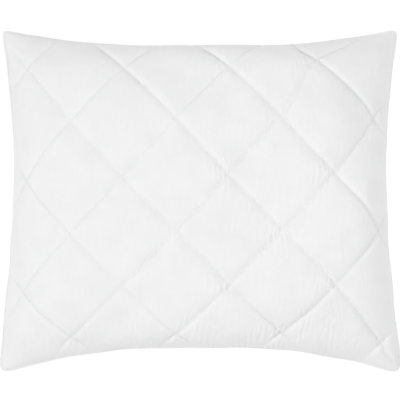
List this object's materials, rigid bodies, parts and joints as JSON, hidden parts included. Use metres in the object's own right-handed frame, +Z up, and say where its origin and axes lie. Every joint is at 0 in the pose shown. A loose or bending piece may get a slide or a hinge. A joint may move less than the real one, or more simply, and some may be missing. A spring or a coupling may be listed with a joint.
{
  "type": "bed pillow",
  "caption": "Rectangular bed pillow with diamond-quilted front and back panels, a stitched edge seam and a soft fibre filling, lying flat.",
  "frame": {"origin": "on the surface the pillow lies on, under the middle of its bounding box", "axes": "+X along the long side, +Y along the short side, +Z up through the thickness"},
  "size_m": [0.6761, 0.5837, 0.1782],
  "materials": {
    "cover_fabric": "soft matt microfibre",
    "wadding": "lofty fibre web",
    "lining": "thin non-woven web",
    "sewing_thread": "spun polyester thread",
    "filling": "loose crimped fibre"
  },
  "bodies": {
    "root": {"front_shell": "cover_fabric", "front_wadding": "wadding", "front_lining": "lining", "front_quilting_needle_thread": "sewing_thread", "front_quilting_bobbin_thread": "sewing_thread", "back_shell": "cover_fabric", "back_wadding": "wadding", "back_lining": "lining", "back_quilting_needle_thread": "sewing_thread", "back_quilting_bobbin_thread": "sewing_thread", "edge_seam_thread": "sewing_thread", "topstitch_needle_thread": "sewing_thread", "topstitch_bobbin_thread": "sewing_thread", "fibre_filling": "filling"}
  },
  "joints": []
}
